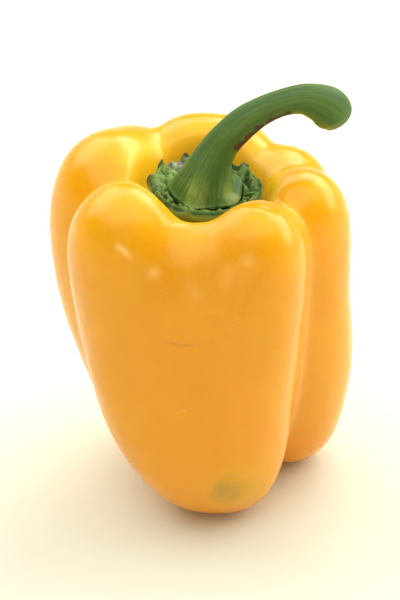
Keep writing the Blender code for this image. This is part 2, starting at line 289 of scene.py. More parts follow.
# Each soft light: its name, the setting that holds its power, its panels as (width, height), and its
# heading, elevation, roll and distance. Nested panels make a reflection that fades towards its edges.
SOFTBOXES = (
    ("key_panel", "key_power", ((1.15, 0.34), (1.05, 0.27), (0.90, 0.20)), 124, 38, 24, 0.70),
    ("fill_panel", "fill_power", ((1.50, 1.30), (1.15, 1.00), (0.80, 0.70)), -20, 64, 0, 1.10),
    ("ceiling", "top_power", ((2.40, 2.40),), 200, 78, 0, 1.20),
    ("back_softbox", "back_power", ((1.00, 0.80),), -135, 42, 0, 1.00),
    ("front_light", "front_power", ((0.36, 0.06),), -9, 16, -27, 0.80),
)
LIGHT_AIM = (0.0, 0.0, 0.06)
HORIZON_BAND = (0.05, 0.30)  # the horizon's brightness fades as the view rises through this band
FLOOR_CLOUD_SIZE = 0.25
FLOOR_SHADE = 0.985  # how bright the floor's darker clouds are, as a share of its colour


def number(name, description, value, least, most=1000):
    """A whole number between two bounds."""
    return IntProperty(name=name, description=description, default=value, min=least, max=most)


def amount(name, description, value):
    return FloatProperty(name=name, description=description, default=value)


def angle(name, description, degrees):
    value = math.radians(degrees)
    return FloatProperty(name=name, description=description, default=value, subtype="ANGLE")


def metres(name, description, value):
    """A length that the panel shows in the scene's units."""
    return FloatProperty(name=name, description=description, default=value, unit="LENGTH")


def tint(name, description, rgb):
    """An opaque colour, from its linear red, green and blue."""
    look = {"subtype": "COLOR", "size": 4, "default": (*rgb, 1.0)}
    return FloatVectorProperty(name=name, description=description, **look)


class PepperFruitSettings(bpy.types.PropertyGroup):
    """The fruit's fineness, unevenness and colours."""

    coarse_faces: number(
        "Coarse faces", "Faces along each edge of the cube that becomes the fruit", 24, 8
    )
    doublings: number("Doublings", "How many times the coarse faces are halved both ways", 2, 0, 3)
    evening_rounds: number("Evening rounds", "Rounds that spread the coarse points evenly", 20, 0)
    swell: metres("Swell", "Depth of the broad unevenness of the skin", 0.00035)
    ripple: metres("Ripple", "Depth of the small unevenness of the skin", 0.00008)
    dent: metres("Dent", "Depth of the dimple and of the scar", 0.0004)
    golden: tint("Golden", "The skin's lighter colour", (0.89, 0.375, 0.004))
    amber: tint("Amber", "The skin's deeper colour", (0.86, 0.345, 0.003))
    # Painted light: the crests' tops are painted lighter than the rest of the skin.
    crest: tint("Crest", "The skin's colour on the crests", (0.97, 0.44, 0.005))
    # Painted light: the walls of the bowl are painted lighter and yellower than the skin outside it.
    bowl: tint("Bowl", "The skin's colour in the bowl", (1.0, 0.56, 0.015))
    # Painted shade: the creases are painted a deeper orange. This colour also tints the random freckles.
    furrow: tint("Furrow", "Colour down in the creases", (0.90, 0.35, 0.003))
    blotch: tint("Blotch", "Colour of the bruised patch on the front foot", (0.42, 0.27, 0.030))
    unripe: tint("Unripe", "The skin's colour round the bruise", (0.82, 0.44, 0.01))
    scar: tint("Scar", "Colour of the healed scratch", (0.60, 0.26, 0.03))


class PepperCalyxSettings(bpy.types.PropertyGroup):
    """The calyx's size, folds and colours."""

    radius: metres("Radius", "From the middle to the rim between teeth", 0.0157)
    gap: metres("Gap", "Space between the calyx and the fruit", 0.0005)
    trough_thickness: metres("Trough thickness", "Thickness round the bulb", 0.0026)
    lip_thickness: metres("Lip thickness", "Thickness just inside the rim", 0.0025)
    edge_thickness: metres("Edge thickness", "Thickness of the rim itself", 0.0014)
    rim_wave: metres("Rim wave", "How far the rim rises and falls unevenly", 0.0006)
    scallop: metres("Scallop", "How far the rim draws in between teeth", 0.0004)
    tooth_reach: metres("Tooth reach", "How far a tooth stands out past the rim", 0.0004)
    tooth_lift: metres("Tooth lift", "How far a tooth turns up", 0.0007)
    rib_height: metres("Rib height", "Height of the rib that runs out to each tooth", 0.0007)
    fold_height: metres("Fold height", "Height of the crinkles between the ribs", 0.0017)
    sectors: number("Sectors", "Steps round the calyx", 240, 24)
    # Painted highlight on the folds' tops and painted shade between them.
    fold_highlight_green: tint("Fold light", "Colour on top of the folds", (0.21, 0.32, 0.05))
    fold_shade_green: tint("Fold dark", "Colour between the folds", (0.030, 0.080, 0.010))
    rim: tint("Rim", "Colour of the thin rim", (0.24, 0.30, 0.05))
    tip: tint("Tip", "Colour of the dried teeth", (0.022, 0.045, 0.006))
    dust: tint("Dust", "Colour of the dry grey patch", (0.34, 0.33, 0.24))


class PepperStemSettings(bpy.types.PropertyGroup):
    """The stem's fineness, ribs and colours."""

    sides: number("Sides", "Points round the stem", 80, 20)
    rings_per_station: number("Rings per station", "Rings between neighbouring stations", 10, 1)
    rib_share: amount("Rib share", "How far the ribs stand out, as a share of the radius", 0.045)
    rib_turn: angle("Rib turn", "Turn of the ribs round the stem", -12.0)
    streak_height: metres("Streak height", "Height of the fine lengthwise streaks", 0.00010)
    lump_height: metres("Lump height", "Height of the lumps low on the bulb", 0.00045)
    end_dome: metres("End dome", "How far the cut end bulges", 0.0009)
    green: tint("Green", "The stem's main colour", (0.080, 0.170, 0.018))
    # Painted shade between the ribs and painted highlight along them, laid over the streaks' own darker
    # and lighter tones.
    deep_streak_and_rib_shade: tint("Deep green", "Colour between the ribs", (0.050, 0.115, 0.014))
    light_streak_and_rib_highlight: tint("Light green", "Colour along the ribs", (0.19, 0.29, 0.050))
    belly: tint("Belly", "Colour of the underside", (0.20, 0.24, 0.020))
    # Painted highlight on the bulb's ribs, on the side towards the front.
    bulb: tint("Bulb", "Colour of the bulb's ribs", (0.30, 0.39, 0.07))
    bark: tint("Bark", "Colour of the dry scars", (0.060, 0.030, 0.018))


class PepperStageSettings(bpy.types.PropertyGroup):
    """The floor, the camera and the lights."""

    floor_width: metres("Floor width", "Side of the floor", 4.0)
    floor_colour: tint("Floor colour", "Colour of the floor", (0.93, 0.93, 0.74))
    pitch: angle("Pitch", "How far the camera looks down", 32.0)
    distance: metres("Distance", "From the camera to what it looks at", 0.45)
    aim_height: metres("Aim height", "Height that the camera looks at", 0.050)
    lens: FloatProperty(name="Lens", description="Focal length in millimetres", default=94.5, min=10.0)
    key_power: amount("Key power", "Power of the light behind on the right", 9.8)
    top_power: amount("Top power", "Power of the broad light overhead", 22.5)
    fill_power: amount("Fill power", "Power of the soft light above the front", 6.0)
    front_power: amount("Front power", "Power of the small light in front", 0.65)
    back_power: amount("Back power", "Power of the light behind on the left", 3.5)
    room_strength: amount("Room strength", "Brightness of the room", 0.07)
    horizon_strength: amount("Horizon strength", "Brightness along the horizon", 0.8)


def smooth_line(stations, count):
    """Points evenly spread along a smooth line through the stations, with the radius carried along."""
    given = np.array(stations, float)
    led = np.vstack([2 * given[0] - given[1], given, 2 * given[-1] - given[-2]])
    spans = len(stations) - 1
    places = np.linspace(0.0, spans, count)
    span = np.minimum(places.astype(int), spans - 1)
    u = (places - span)[:, None]
    before, here, there, after = (led[span + k] for k in range(4))
    bend = 2 * before - 5 * here + 4 * there - after
    twist = 3 * here - before - 3 * there + after
    return 0.5 * (2 * here + (there - before) * u + bend * u**2 + twist * u**3)


def fruit_balls():
    """Every ball of every lobe and of the core, as rows of (across, deep, up, radius)."""
    lobes = [smooth_line(spine, BALLS_ON_A_LOBE) for spine in LOBE_SPINES.values()]
    return np.vstack([*lobes, smooth_line(CORE_SPINE, BALLS_ON_THE_CORE)])


def flesh_field(points, balls):
    """Soft distance from each point to the balls, the way it grows, and how many balls share it."""
    away = points[:, None, :] - balls[None, :, :3]
    reach = np.linalg.norm(away, axis=2)
    apart = reach - balls[:, 3]
    nearest = apart.min(axis=1)
    pull = np.exp((nearest[:, None] - apart) / BLEND)
    crowd = pull.sum(axis=1)
    slope = (away * (pull / reach)[:, :, None]).sum(axis=1) / crowd[:, None]
    return nearest - BLEND * np.log(crowd / CROWDING), slope, crowd


def bowl_field(points):
    """How deep each point lies in the bowl, and the way the depth grows."""
    across = points[:, :2] - BOWL_AXIS
    reach = np.linalg.norm(across, axis=1)
    wall = (reach - BOWL_RADIUS) / BOWL_CORNER
    floor = (BOWL_FLOOR - points[:, 2]) / BOWL_CORNER
    either = np.logaddexp(wall, floor)
    inwards = -np.exp(wall - either)[:, None] * across / np.maximum(reach, BOWL_CORNER)[:, None]
    return -BOWL_CORNER * either, np.column_stack([inwards, np.exp(floor - either)])


def skin_field(points, balls):
    """Soft distance from each point to the skin, the way it grows, and how crowded the place is."""
    flesh, flesh_slope, crowd = flesh_field(points, balls)
    bowl, bowl_slope = bowl_field(points)
    distance = BOWL_BLEND * np.logaddexp(flesh / BOWL_BLEND, bowl / BOWL_BLEND)
    share = np.exp((bowl - distance) / BOWL_BLEND)[:, None]
    return distance, (1.0 - share) * flesh_slope + share * bowl_slope, crowd


def in_chunks(points, balls):
    """The skin field for many points, worked out a few thousand at a time."""
    starts = range(0, len(points), CHUNK)
    parts = [skin_field(points[start : start + CHUNK], balls) for start in starts]
    return [np.concatenate(column) for column in zip(*parts)]


def trace_skin(directions, balls):
    """Where rays from the heart, followed inwards from beyond the fruit, meet its skin."""
    reach = np.full(len(directions), BEYOND)
    for _ in range(TRACE_STEPS):
        reach -= TRACE_SHARE * in_chunks(HEART + directions * reach[:, None], balls)[0]
    return HEART + directions * reach[:, None]


def height_above_skin(places, gap, balls):
    """Height of the surface that stays this far above the skin, at each (across, deep) place."""
    height = np.full(len(places), HEART[2] + BEYOND)
    for _ in range(TRACE_STEPS):
        height -= TRACE_SHARE * (in_chunks(np.column_stack([places, height]), balls)[0] - gap)
    return height


def settle(points, balls):
    """Moves points that are near the skin straight on to it."""
    distance, slope, _ = in_chunks(points, balls)
    return points - slope * (distance / (slope**2).sum(axis=1))[:, None]


def even_out(points, links, balls, rounds):
    """Slides the points over the skin, each towards its neighbours' middle, until they lie evenly."""
    neighbours = np.bincount(links.ravel(), minlength=len(points))[:, None]
    for _ in range(rounds):
        sums = np.zeros_like(points)
        np.add.at(sums, links[:, 0], points[links[:, 1]])
        np.add.at(sums, links[:, 1], points[links[:, 0]])
        points = settle(0.5 * (points + sums / neighbours), balls)
    return settle(points, balls)


def coordinates(bm):
    return np.array([vertex.co for vertex in bm.verts])


def edge_links(bm):
    bm.verts.index_update()
    return np.array([[vertex.index for vertex in edge.verts] for edge in bm.edges])


def move_vertices(bm, points):
    for vertex, point in zip(bm.verts, points):
        vertex.co = point


def noise_at(points, size, seed=0.0):
    """Smooth noise from -1 to 1 at each point, with features of this size."""
    shift = Vector((seed, seed, seed))
    return np.array([noise.noise(Vector(point) / size + shift) for point in points])


def ease(value, low, high):
    """0 below low, 1 above high, and a smooth step between them."""
    share = np.clip((value - low) / (high - low), 0.0, 1.0)
    return share * share * (3.0 - 2.0 * share)


def bump_at(points, centre, radii):
    """1 at the centre, falling smoothly to 0 towards the radii."""
    apart = (points - np.array(centre)) / np.array(radii)
    return np.exp(-(apart**2).sum(axis=1))


def add_attribute(mesh, name, values):
    """Stores one number for each point of the mesh, for its material to read."""
    attribute = mesh.attributes.new(name, "FLOAT", "POINT")
    attribute.data.foreach_set("value", np.ascontiguousarray(values, dtype=np.float32))


def add_object(name, data):
    """A new object in the scene, at the origin."""
    made = bpy.data.objects.new(name, data)
    bpy.context.scene.collection.objects.link(made)
    return made


def add_mesh_object(bm, name, material):
    """Turns the finished shape into an object with this material."""
    mesh = bpy.data.meshes.new(name)
    bm.to_mesh(mesh)
    bm.free()
    mesh.materials.append(material)
    return add_object(name, mesh)


def finish_piece(bm, name, material, node, attributes):
    """Makes the named piece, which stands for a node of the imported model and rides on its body."""
    piece = add_mesh_object(bm, name, material)
    piece.data.shade_smooth()
    for key, values in attributes.items():
        add_attribute(piece.data, key, values)
    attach(piece, "root")
    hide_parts(node)


def set_inputs(tree, node, inputs):
    """Sets each input of the node to a value, or links it to another node's socket."""
    for key, value in inputs.items():
        if isinstance(value, bpy.types.NodeSocket):
            tree.links.new(value, node.inputs[key])
        else:
            node.inputs[key].default_value = value


def add_node(tree, kind, inputs=None, **settings):
    """A new node with its settings and inputs."""
    made = tree.nodes.new(kind)
    for key, value in settings.items():
        setattr(made, key, value)
    set_inputs(tree, made, inputs or {})
    return made


def object_place(tree):
    return add_node(tree, "ShaderNodeTexCoord").outputs["Object"]


def attribute_value(tree, name):
    return add_node(tree, "ShaderNodeAttribute", attribute_name=name).outputs["Fac"]


def noise_value(tree, place, size, detail=2.0, roughness=0.5):
    """Noise from 0 to 1 with features of about this size."""
    settings = {"Vector": place, "Scale": 1.0 / size, "Detail": detail, "Roughness": roughness}
    return add_node(tree, "ShaderNodeTexNoise", settings).outputs["Fac"]


def remap(tree, value, low, high, to_low=0.0, to_high=1.0):
    """Carries low..high to the new range, smoothly and no further."""
    inputs = {"Value": value, "From Min": low, "From Max": high, "To Min": to_low, "To Max": to_high}
    made = add_node(tree, "ShaderNodeMapRange", inputs, interpolation_type="SMOOTHSTEP")
    return made.outputs["Result"]


def calculate(tree, operation, first, second):
    return add_node(tree, "ShaderNodeMath", {0: first, 1: second}, operation=operation).outputs[0]


def times(tree, first, second):
    return calculate(tree, "MULTIPLY", first, second)


def highest(tree, first, *others):
    """The highest of the values at each place."""
    for other in others:
        first = calculate(tree, "MAXIMUM", first, other)
    return first


def vector_node(tree, operation, inputs):
    return add_node(tree, "ShaderNodeVectorMath", inputs, operation=operation)


def blend_colour(tree, share, first, second):
    """The first colour where the share is 0, the second where it is 1."""
    inputs = {0: share, 6: first, 7: second}
    return add_node(tree, "ShaderNodeMix", inputs, data_type="RGBA").outputs[2]


def paint(tree, colour, *layers):
    """Lays more colours over this one, each as thickly as its share says."""
    for share, over in layers:
        colour = blend_colour(tree, share, colour, over)
    return colour


def patch(tree, place, centre, radii, core):
    """1 inside this share of an ellipsoid round the centre, fading to 0 at its surface."""
    middle = tuple(np.array(centre) + STEM_AXIS)
    moved = vector_node(tree, "SUBTRACT", {0: place, 1: middle}).outputs[0]
    shaped = vector_node(tree, "DIVIDE", {0: moved, 1: radii}).outputs[0]
    length = vector_node(tree, "LENGTH", {0: shaped}).outputs["Value"]
    return remap(tree, length, core, 1.0, 1.0, 0.0)


def shaken(tree, place, size, depth):
    """The place pushed about by noise, so that an outline that is drawn there is ragged."""
    inputs = {"Vector": place, "Scale": 1.0 / size, "Detail": 3.0}
    colour = add_node(tree, "ShaderNodeTexNoise", inputs).outputs["Color"]
    centred = vector_node(tree, "SUBTRACT", {0: colour, 1: (0.5, 0.5, 0.5)}).outputs[0]
    scaled = vector_node(tree, "SCALE", {0: centred, "Scale": depth}).outputs[0]
    return vector_node(tree, "ADD", {0: place, 1: scaled}).outputs[0]


def add_bump(tree, shader, height, depth):
    """Adds a relief of this depth in metres to what the shader's normal already holds."""
    inputs = {"Height": height, "Distance": depth, "Strength": 1.0}
    if shader.inputs["Normal"].is_linked:
        inputs["Normal"] = shader.inputs["Normal"].links[0].from_socket
    made = add_node(tree, "ShaderNodeBump", inputs)
    tree.links.new(made.outputs["Normal"], shader.inputs["Normal"])


def new_material(name):
    material = bpy.data.materials.new(name)
    material.use_nodes = True
    tree = material.node_tree
    return material, tree, tree.nodes["Principled BSDF"]


def pepper_skin(settings):
    """Waxy skin over translucent flesh: golden, painted lighter on the crests and in the bowl, painted
    shade in the furrows, a scar and a bruise.
    """
    material, tree, shader = new_material("pepper skin")
    place = object_place(tree)
    height = add_node(tree, "ShaderNodeSeparateXYZ", {0: place}).outputs["Z"]
    colour = paint(
        tree,
        settings.golden,
        (remap(tree, noise_value(tree, place, MOTTLE_SIZE, 3.0), 0.35, 0.68), settings.amber),
        # Painted light: the skin is painted lighter towards the crests' tops.
        (remap(tree, height, *CREST_PAINTED_LIGHT_HEIGHTS), settings.crest),
        (remap(tree, noise_value(tree, place, FRECKLE_SIZE), 0.60, 0.74, 0.0, 0.22), settings.furrow),
        # Painted shade down in the creases.
        (times(tree, attribute_value(tree, "furrow"), 0.8), settings.furrow),
        # Painted light in the bowl.
        (attribute_value(tree, "bowl"), settings.bowl),
    )
    colour, marks = draw_marks(tree, place, colour, settings)
    look = {
        "Base Color": colour,
        "Roughness": skin_roughness(tree, place, marks),
        "IOR": 1.6,
        "Specular Tint": (1.0, 0.95, 0.55, 1.0),
        "Subsurface Weight": 0.7,
        "Subsurface Radius": FLESH_SCATTER,
        "Subsurface Scale": 0.006,
    }
    set_inputs(tree, shader, look)
    add_bump(tree, shader, noise_value(tree, place, PORE_SIZE, 3.0), PORE_DEPTH)
    add_bump(tree, shader, noise_value(tree, place, GRAIN_SIZE), GRAIN_DEPTH)
    add_bump(tree, shader, marks, MARK_DEPTH)
    return material


def skin_roughness(tree, place, marks):
    """Glossy all over, and duller on top of the front lobe and on the marks."""
    gloss = remap(tree, noise_value(tree, place, GLOSS_SIZE, 4.0), 0.3, 0.7, *SKIN_ROUGHNESS)
    dull = times(tree, patch(tree, place, DULL_CENTRE, DULL_RADII, 0.0), DULL_ROUGHNESS)
    return calculate(tree, "ADD", gloss, highest(tree, dull, times(tree, marks, MARK_ROUGHNESS)))


def draw_marks(tree, place, colour, settings):
    """Puts the marks on the skin. Returns the colour and where the marks are."""
    ragged = shaken(tree, place, *MARK_RAGGEDNESS)
    scar = patch(tree, ragged, SCAR_CENTRE, SCAR_RADII, MARK_CORE)
    scratch = highest(tree, scar, patch(tree, ragged, SCAR_END_CENTRE, SCAR_END_RADII, MARK_CORE))
    dimple = patch(tree, ragged, DIMPLE_CENTRE, DIMPLE_RADII, MARK_CORE)
    flecks = highest(tree, dimple, patch(tree, ragged, FLECK_CENTRE, FLECK_RADII, MARK_CORE))
    lines = [patch(tree, ragged, centre, BLOTCH_LINE_RADII, MARK_CORE) for centre in BLOTCH_LINES]
    torn = shaken(tree, place, *BLOTCH_RAGGEDNESS)
    unripe = patch(tree, torn, UNRIPE_CENTRE, UNRIPE_RADII, MARK_CORE)
    cloud = remap(tree, noise_value(tree, place, BLOTCH_CLOUD_SIZE, 3.0), 0.3, 0.7, 0.35, 0.7)
    colour = paint(
        tree,
        colour,
        (times(tree, scratch, 0.5), settings.scar),
        (times(tree, flecks, 0.35), FLECK_COLOUR),
        (times(tree, unripe, 0.6), settings.unripe),
        (times(tree, patch(tree, torn, BLOTCH_CENTRE, BLOTCH_RADII, 0.15), cloud), settings.blotch),
        *((times(tree, line, 0.15), settings.scar) for line in lines),
    )
    return colour, highest(tree, scratch, flecks, *lines)


def skin_relief(points, settings):
    """How far the skin stands out of its smooth form at each point."""
    swell = settings.swell * noise_at(points, SWELL_SIZE)
    ripple = settings.ripple * noise_at(points, RIPPLE_SIZE, 7.0)
    dimple = DIMPLE_DENT_SHARE * bump_at(points, DIMPLE_CENTRE, DIMPLE_DENT_RADII)
    scar = SCAR_DENT_SHARE * bump_at(points, SCAR_CENTRE, SCAR_DENT_RADII)
    return swell + ripple - settings.dent * (dimple + scar)


def cut_feet(bm):
    """Slices the tips of the feet off at the floor, and closes them with flat spots."""
    cut = bmesh.ops.bisect_plane(
        bm,
        geom=bm.verts[:] + bm.edges[:] + bm.faces[:],
        dist=MERGE_DISTANCE,
        plane_co=(0, 0, 0),
        plane_no=(0, 0, -1),
        clear_outer=True,
    )
    rims = [part for part in cut["geom_cut"] if isinstance(part, bmesh.types.BMEdge)]
    bmesh.ops.holes_fill(bm, edges=rims, sides=0)


def shape_fruit(settings):
    """A cut cube that is pushed on to the skin, and pushed on to it again each time it is cut finer."""
    balls = fruit_balls()
    bm = bmesh.new()
    bmesh.ops.create_cube(bm, size=2.0)
    bmesh.ops.subdivide_edges(bm, edges=bm.edges, cuts=settings.coarse_faces - 1, use_grid_fill=True)
    even = np.tan(coordinates(bm) * math.pi / 4)
    directions = even / np.linalg.norm(even, axis=1, keepdims=True)
    points = even_out(trace_skin(directions, balls), edge_links(bm), balls, settings.evening_rounds)
    move_vertices(bm, points)
    for _ in range(settings.doublings):
        bmesh.ops.subdivide_edges(bm, edges=bm.edges, cuts=1, use_grid_fill=True)
        points = even_out(coordinates(bm), edge_links(bm), balls, FINE_EVENING_ROUNDS)
        move_vertices(bm, points)
    _, slope, _ = in_chunks(points, balls)
    outwards = slope / np.linalg.norm(slope, axis=1, keepdims=True)
    move_vertices(bm, points + outwards * skin_relief(points, settings)[:, None] + STEM_AXIS)
    bmesh.ops.recalc_face_normals(bm, faces=bm.faces)
    cut_feet(bm)
    points = coordinates(bm) - STEM_AXIS
    _, _, crowd = in_chunks(points, balls)
    # Where the bowl's painted light falls, fading out away from the bowl.
    bowl = 1.0 - ease(-bowl_field(points)[0], *BOWL_PAINTED_LIGHT_DEPTHS)
    # The furrow mask carries the painted shade of the creases.
    return bm, {"furrow": ease(crowd, *FURROW_SHADE_CROWDS) * (1.0 - bowl), "bowl": bowl}


def ridges(heading, half_width, boldness):
    """A ridge as high as its boldness on the line of each tooth, falling to 0 on both sides of it."""
    lines = np.array([line for line, _ in TEETH])
    apart = np.abs((heading[:, None] - lines + 180.0) % 360.0 - 180.0)
    return (boldness * np.exp(-((apart / half_width) ** 2))).max(axis=1)


def between_teeth(heading):
    """1 midway between neighbouring teeth, 0 at a tooth."""
    lines = np.array([line for line, _ in TEETH])
    since = ((heading[:, None] - lines) % 360.0).min(axis=1)
    until = ((lines - heading[:, None]) % 360.0).min(axis=1)
    return np.sin(math.pi * since / np.maximum(since + until, 1.0))


def calyx_section():
    """Half of the calyx's section, from the top's middle round the rim to the underside's middle."""
    seat = (0.0, 0.3, 0.48)
    crinkled = np.linspace(0.52, 0.985, CRINKLED_RINGS)
    top = [(share, 1.0) for share in (*seat, *crinkled)]
    under = [(share, 0.0) for share in (*np.linspace(0.98, 0.6, 10), 0.45, 0.2, 0.0)]
    rim = [(0.995, 0.86), (1.0, 0.5), (0.995, 0.14)]
    return top + rim + under


def spin_section(section, sectors):
    """Turns a section of (radius, height) points round the Z axis and closes it at both ends."""
    bm = bmesh.new()
    line = [bm.verts.new((radius, 0.0, height)) for radius, height in section]
    bmesh.ops.spin(
        bm,
        geom=line + [bm.edges.new(pair) for pair in zip(line, line[1:])],
        cent=(0, 0, 0),
        axis=(0, 0, 1),
        angle=2 * math.pi,
        steps=sectors,
        use_merge=True,
    )
    bmesh.ops.remove_doubles(bm, verts=bm.verts, dist=MERGE_DISTANCE)
    return bm


def crinkles(places):
    """Sharp little folds, from 0 down in the creases to 1 on the ridges."""
    spots = np.column_stack([places, np.zeros(len(places))])
    coarse = 1.0 - FOLD_SHARPNESS * np.abs(noise_at(spots, COARSE_FOLD_SIZE, 3.0))
    fine = 1.0 - FOLD_SHARPNESS * np.abs(noise_at(spots, FINE_FOLD_SIZE, 11.0))
    return np.clip(0.7 * coarse + 0.3 * fine, 0.0, 1.0)


def shape_calyx(settings):
    """A spun disc bent into a dish, then raised into ribs, crinkles, a lip and teeth."""
    bm = spin_section(calyx_section(), settings.sectors)
    flat = coordinates(bm)
    share = np.hypot(flat[:, 0], flat[:, 1])
    turn = np.arctan2(flat[:, 1], flat[:, 0])
    heading = np.degrees(turn)
    tooth = ridges(heading, TOOTH_HALF_WIDTH, np.array([bold for _, bold in TEETH]))
    drawn_in = settings.scallop * between_teeth(heading)
    radius = share * (settings.radius + settings.tooth_reach * tooth - drawn_in)
    spread = np.column_stack([radius * np.cos(turn), radius * np.sin(turn)])
    places = spread + CALYX_CENTRE
    wave = rim_wave(turn, share, settings)
    dish = DISH_FLOOR + DISH_DEPTH * share**DISH_BEND + spread @ DISH_LEAN + wave
    bed = np.maximum(height_above_skin(places, settings.gap, fruit_balls()), dish)
    under = bed + settings.tooth_lift * tooth * ease(share, *TOOTH_RISE)
    beyond_seat = ease(share, *SEAT_EDGE)
    inside_rim = 1.0 - ease(share, *RIM_TURN)
    rib = ridges(heading, RIB_HALF_WIDTH, 1.0)
    fold = crinkles(places) * beyond_seat * inside_rim
    lip = (settings.lip_thickness - settings.trough_thickness) * ease(share, *LIP_RISE)
    edge = (settings.lip_thickness - settings.edge_thickness) * (1.0 - inside_rim)
    relief = settings.rib_height * rib * beyond_seat + settings.fold_height * fold
    sheet = under + settings.trough_thickness + relief + lip - edge
    top = SEAT_HEIGHT * (1.0 - beyond_seat) + sheet * beyond_seat
    height = under + flat[:, 2] * (top - under)
    move_vertices(bm, np.column_stack([places, height]) + STEM_AXIS)
    bmesh.ops.recalc_face_normals(bm, faces=bm.faces)
    attributes = {
        # Carries the painted highlight and shade of the folds.
        "fold": np.clip(fold + 0.5 * rib, 0.0, 1.0),
        "rim": ease(share, *RIM_COLOUR_SPAN),
        "tip": np.clip(tooth, 0.0, 1.0) * ease(share, *TIP_COLOUR_SPAN),
    }
    return bm, attributes


def rim_wave(turn, share, settings):
    """The uneven rise and fall of the calyx's outer part."""
    round_the_rim = np.column_stack([np.cos(turn), np.sin(turn), np.zeros(len(turn))])
    return settings.rim_wave * noise_at(round_the_rim, RIM_WAVE_SIZE, 5.0) * ease(share, *WAVE_RISE)


def calyx_leaf(settings):
    """Dull crinkled green with painted highlight on the folds and painted shade between them, a light
    rim, dark dry teeth and a dusty patch.
    """
    material, tree, shader = new_material("calyx leaf")
    place = object_place(tree)
    # The folds set the painted shade between them and the painted highlight on their tops.
    fold = remap(tree, attribute_value(tree, "fold"), 0.25, 0.95)
    breaks = remap(tree, noise_value(tree, place, LEAF_BREAK_SIZE, 3.0), 0.25, 0.6, 0.45, 1.0)
    dusty = patch(tree, shaken(tree, place, *DUST_RAGGEDNESS), DUST_CENTRE, DUST_RADII, 0.3)
    speckles = remap(tree, noise_value(tree, place, DUST_SPECKLE_SIZE, 3.0), 0.35, 0.6)
    colour = paint(
        tree,
        settings.fold_shade_green,
        (times(tree, fold, breaks), settings.fold_highlight_green),
        (times(tree, dusty, speckles), settings.dust),
        (times(tree, attribute_value(tree, "rim"), 0.8), settings.rim),
        (attribute_value(tree, "tip"), settings.tip),
    )
    look = {
        "Base Color": colour,
        "Roughness": remap(tree, fold, 0.0, 1.0, 0.70, 0.52),
        "Specular IOR Level": 0.3,
        "Subsurface Weight": 0.08,
        "Subsurface Radius": TISSUE_SCATTER,
        "Subsurface Scale": 0.0008,
    }
    set_inputs(tree, shader, look)
    add_bump(tree, shader, noise_value(tree, place, LEAF_GRAIN_SIZE, 4.0, 0.6), LEAF_GRAIN_DEPTH)
    return material


def stem_rings(settings):
    """The stem's rings: a centre, two directions across the stem and a radius."""
    count = (len(STEM_STATIONS) - 1) * settings.rings_per_station + 1
    line = smooth_line(STEM_STATIONS, count)
    tangents = np.gradient(line[:, :3], axis=0)
    level = Vector((0.0, 1.0, 0.0))
    rings = []
    for row, tangent in zip(line, tangents):
        ahead = Vector(tangent).normalized()
        side = (level - ahead * level.dot(ahead)).normalized()
        rings.append((Vector(row[:3]), side, ahead.cross(side), row[3]))
    return rings


def next_loop(loop, edges):
    """The points of the newly extruded ring, in the order of the ring that they came from."""
    new = {vertex for edge in edges for vertex in edge.verts}
    return [next(e.other_vert(v) for e in v.link_edges if e.other_vert(v) in new) for v in loop]


def extruded_edges(bm, edges):
    made = bmesh.ops.extrude_edge_only(bm, edges=edges)["geom"]
    return [part for part in made if isinstance(part, bmesh.types.BMEdge) and part.is_boundary]


def ridge_share(turn, settings):
    """1 on the crest of each rib and 0 midway between ribs."""
    return 0.5 + 0.5 * math.cos(STEM_RIBS * (turn + settings.rib_turn))


def ring_reach(turn, along, radius, settings):
    """How far the stem's surface is from its axis at this turn and this share of its length."""
    bold = float(ease(along, *RIB_RISE) * (1.0 - 0.65 * ease(along, *RIB_WEAKENING)))
    ridge = ridge_share(turn, settings) ** 1.3
    rib = radius * settings.rib_share * bold * (2.0 * ridge - 1.0)
    streak_spot = Vector((math.cos(turn) * 5.0, math.sin(turn) * 5.0, along * 4.0)) * 1.6
    streak = settings.streak_height * noise.noise(streak_spot)
    low = float(ease(along, *LUMP_RISE) * (1.0 - ease(along, *LUMP_FALL)))
    lump_spot = Vector((math.cos(turn) * 2.2, math.sin(turn) * 2.2, along * 18.0 + 4.0))
    lump = settings.lump_height * low * noise.noise(lump_spot)
    return radius + rib + streak + lump


def shape_stem(settings):
    """A ring that is extruded from station to station, closed by a flat seat and a rounded end."""
    rings = stem_rings(settings)
    count = len(rings)
    bm = bmesh.new()
    bmesh.ops.create_circle(bm, cap_ends=False, segments=settings.sides, radius=1.0)
    loop = sorted(bm.verts, key=lambda vertex: math.atan2(vertex.co.y, vertex.co.x) % (2 * math.pi))
    edges = bm.edges[:]
    turns = [2 * math.pi * k / settings.sides for k in range(settings.sides)]
    shift = Vector(STEM_AXIS)
    marks = {}
    for index, (centre, side, other, radius) in enumerate(rings):
        if index:
            edges = extruded_edges(bm, edges)
            loop = next_loop(loop, edges)
        along = index / (count - 1)
        for vertex, turn in zip(loop, turns):
            reach = ring_reach(turn, along, radius, settings)
            vertex.co = centre + (side * math.cos(turn) + other * math.sin(turn)) * reach + shift
            marks[vertex] = (ridge_share(turn, settings), along, turn)
    ahead = side.cross(other)
    for share, rise in STEM_END_RINGS:
        edges = extruded_edges(bm, edges)
        loop = next_loop(loop, edges)
        for vertex, turn in zip(loop, turns):
            reach = ring_reach(turn, 1.0, radius, settings) * share
            spot = side * math.cos(turn) + other * math.sin(turn)
            vertex.co = centre + spot * reach + ahead * (settings.end_dome * rise) + shift
            marks[vertex] = (0.5, 1.0, turn)
    bmesh.ops.holes_fill(bm, edges=bm.edges, sides=0)
    bmesh.ops.recalc_face_normals(bm, faces=bm.faces)
    rows = np.array([marks[vertex] for vertex in bm.verts])
    ridge, along, turn = rows.T
    return bm, {"ridge": ridge, "along": along, "turn_cos": np.cos(turn), "turn_sin": np.sin(turn)}


